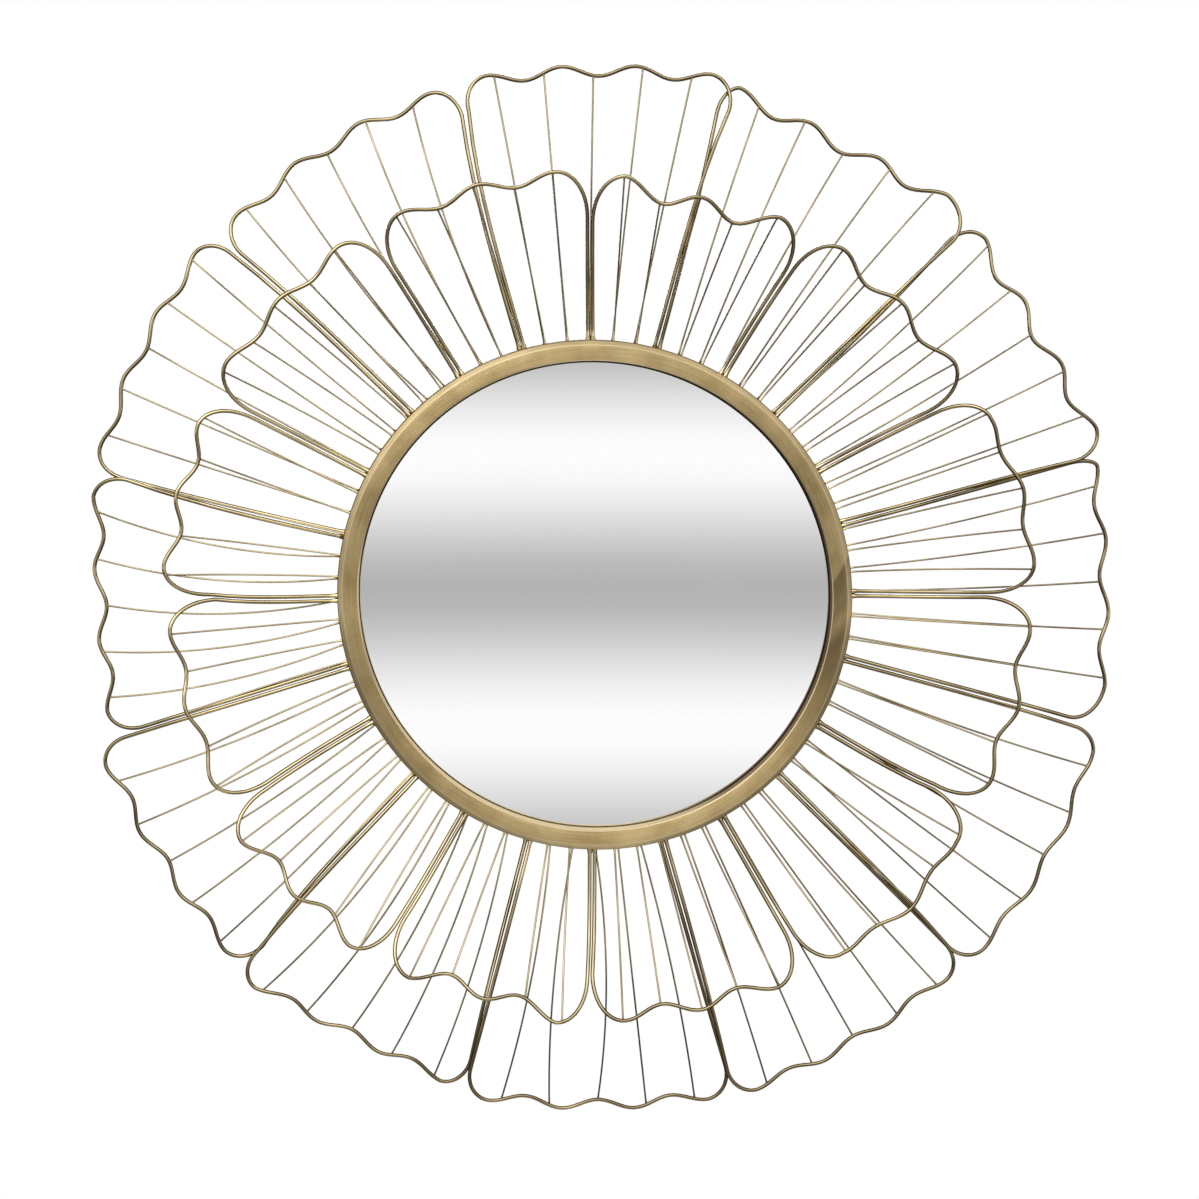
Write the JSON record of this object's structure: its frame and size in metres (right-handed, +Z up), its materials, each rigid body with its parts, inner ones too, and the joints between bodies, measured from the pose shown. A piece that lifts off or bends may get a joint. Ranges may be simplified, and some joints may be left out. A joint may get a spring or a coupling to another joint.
{
  "type": "wall mirror",
  "caption": "Round wall mirror in a gold metal hoop, ringed by a long and a short row of open wire petals with scalloped ends; hangs flat on a wall by a keyhole plate.",
  "frame": {"origin": "centre of the back board's rear face, which lies on the wall", "axes": "+Y into the wall, so the mirror faces -Y; +Z up; +X to the right as seen from the front"},
  "size_m": [0.7808, 0.0562, 0.8049],
  "materials": {
    "antique_gold_hoop": "antique gold lacquer, brushed along the hoop, satin",
    "antique_gold_wire": "antique gold lacquer on drawn wire, satin",
    "silvered_glass": "clear float glass, silvered behind",
    "fibreboard": "raw fibreboard, sealed",
    "zinc_steel": "zinc plated"
  },
  "bodies": {
    "root": {"ring": "antique_gold_hoop", "mirror_glass": "silvered_glass", "back_board": "fibreboard", "hanger_plate": "zinc_steel", "rear_petal_01": "antique_gold_wire", "rear_petal_02": "antique_gold_wire", "rear_petal_03": "antique_gold_wire", "rear_petal_04": "antique_gold_wire", "rear_petal_05": "antique_gold_wire", "rear_petal_06": "antique_gold_wire", "rear_petal_07": "antique_gold_wire", "rear_petal_08": "antique_gold_wire", "rear_petal_09": "antique_gold_wire", "rear_petal_10": "antique_gold_wire", "rear_petal_11": "antique_gold_wire", "rear_petal_12": "antique_gold_wire", "front_petal_01": "antique_gold_wire", "front_petal_02": "antique_gold_wire", "front_petal_03": "antique_gold_wire", "front_petal_04": "antique_gold_wire", "front_petal_05": "antique_gold_wire", "front_petal_06": "antique_gold_wire", "front_petal_07": "antique_gold_wire", "front_petal_08": "antique_gold_wire", "front_petal_09": "antique_gold_wire", "front_petal_10": "antique_gold_wire", "front_petal_11": "antique_gold_wire", "front_petal_12": "antique_gold_wire"}
  },
  "joints": []
}
